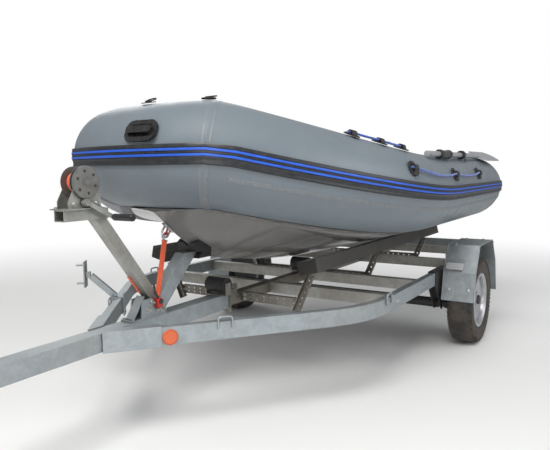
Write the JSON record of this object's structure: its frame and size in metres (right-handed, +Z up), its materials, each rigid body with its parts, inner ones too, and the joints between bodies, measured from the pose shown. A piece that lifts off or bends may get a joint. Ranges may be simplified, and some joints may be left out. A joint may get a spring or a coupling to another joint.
{
  "type": "inflatable boat on trailer",
  "caption": "Rigid-hull inflatable boat with grey side tubes, strapped down on a galvanised single-axle boat trailer with bunks, winch post and jockey wheel.",
  "frame": {"origin": "middle of the whole object's box in plan, on the floor", "axes": "+X forward along the drawbar to the coupling, +Y to port, +Z up"},
  "size_m": [5.158, 2.124, 1.5226],
  "materials": {
    "tube_fabric": "satin",
    "strake_rubber": "satin",
    "blue_rubber": "satin",
    "gelcoat": "gloss",
    "deck_grey": "matte",
    "transom_board": "gloss",
    "thwart_board": "satin",
    "black_plastic": "matte",
    "black_rubber": "matte",
    "blue_rope": "matte",
    "oar_grey": "satin",
    "stainless": "polished",
    "galvanised": "satin",
    "bunk_carpet": "matte",
    "zinc": "satin",
    "drum_orange": "satin",
    "orange_webbing": "matte",
    "red_paint": "gloss",
    "orange_reflector": "gloss",
    "clear_lens": "gloss",
    "red_lens": "gloss",
    "axle_black": "satin",
    "rim_silver": "satin",
    "tyre_rubber": "matte"
  },
  "bodies": {
    "boat_and_trailer": {"bow_tube": "tube_fabric", "port_tube": "tube_fabric", "starboard_tube": "tube_fabric", "rub_strake": "strake_rubber", "strake_stripes": "blue_rubber", "seam_tape": "strake_rubber", "boat_hull": "gelcoat", "deck_floor": "deck_grey", "transom": "transom_board", "thwarts": "thwart_board", "bow_handle": "black_plastic", "d_rings": "black_rubber", "rope_holders": "black_rubber", "lifelines": "blue_rope", "oars": "oar_grey", "oar_holders": "black_plastic", "bow_eye": "stainless", "drawbar": "galvanised", "inner_beam": "galvanised", "side_rails": "galvanised", "rail_sockets": "galvanised", "crossmembers": "galvanised", "crossbars": "galvanised", "bunk_legs": "galvanised", "bunks": "bunk_carpet", "keel_rollers": "black_rubber", "roller_brackets": "galvanised", "winch_post": "galvanised", "bow_post": "galvanised", "post_base": "galvanised", "bow_block": "black_rubber", "winch_frame": "zinc", "tie_strap": "orange_webbing", "strap_fittings": "red_paint", "spare_carrier": "galvanised", "lashing_hooks": "galvanised", "side_reflectors": "orange_reflector", "fenders": "galvanised", "marker_lamps": "clear_lens", "light_board": "galvanised", "tail_lamps": "red_lens", "axle_beam": "axle_black", "axle_arms": "axle_black", "coupling_head": "axle_black", "jockey_clamp": "galvanised"},
    "port_wheel": {"port_rim": "rim_silver", "port_tyre": "tyre_rubber"},
    "starboard_wheel": {"starboard_rim": "rim_silver", "starboard_tyre": "tyre_rubber"},
    "winch_drum": {"winch_drum": "drum_orange"},
    "winch_crank": {"winch_crank": "zinc"},
    "jockey_leg": {"jockey_leg": "zinc"},
    "jockey_fork": {"jockey_fork": "zinc"},
    "jockey_wheel": {"jockey_wheel": "black_rubber"}
  },
  "joints": [
    {"name": "port_wheel_roll", "type": "hinge", "parent": "boat_and_trailer", "child": "port_wheel", "pos_m": [-1.411, 0.963, 0.289], "axis": [0, 1, 0], "continuous": true},
    {"name": "starboard_wheel_roll", "type": "hinge", "parent": "boat_and_trailer", "child": "starboard_wheel", "pos_m": [-1.411, -0.963, 0.289], "axis": [0, 1, 0], "continuous": true},
    {"name": "jockey_leg_screw", "type": "slide", "parent": "boat_and_trailer", "child": "jockey_leg", "axis": [0, 0, 1], "range_m": [-0.18, 0]},
    {"name": "jockey_swivel", "type": "hinge", "parent": "jockey_leg", "child": "jockey_fork", "pos_m": [1.989, 0.098, 0.216], "axis": [0, 0, 1], "continuous": true},
    {"name": "jockey_wheel_roll", "type": "hinge", "parent": "jockey_fork", "child": "jockey_wheel", "pos_m": [1.947, 0.098, 0.1], "axis": [0, 1, 0], "continuous": true},
    {"name": "winch_drum_turn", "type": "hinge", "parent": "boat_and_trailer", "child": "winch_drum", "pos_m": [0.999, 0, 1.14], "axis": [0, 1, 0], "continuous": true},
    {"name": "winch_crank_turn", "type": "hinge", "parent": "boat_and_trailer", "child": "winch_crank", "pos_m": [1.009, 0, 1.05902], "axis": [0, 1, 0], "continuous": true}
  ],
  "couplings": [
    {"joint": "winch_crank_turn", "follows": "winch_drum_turn", "ratio": -4.4}
  ]
}
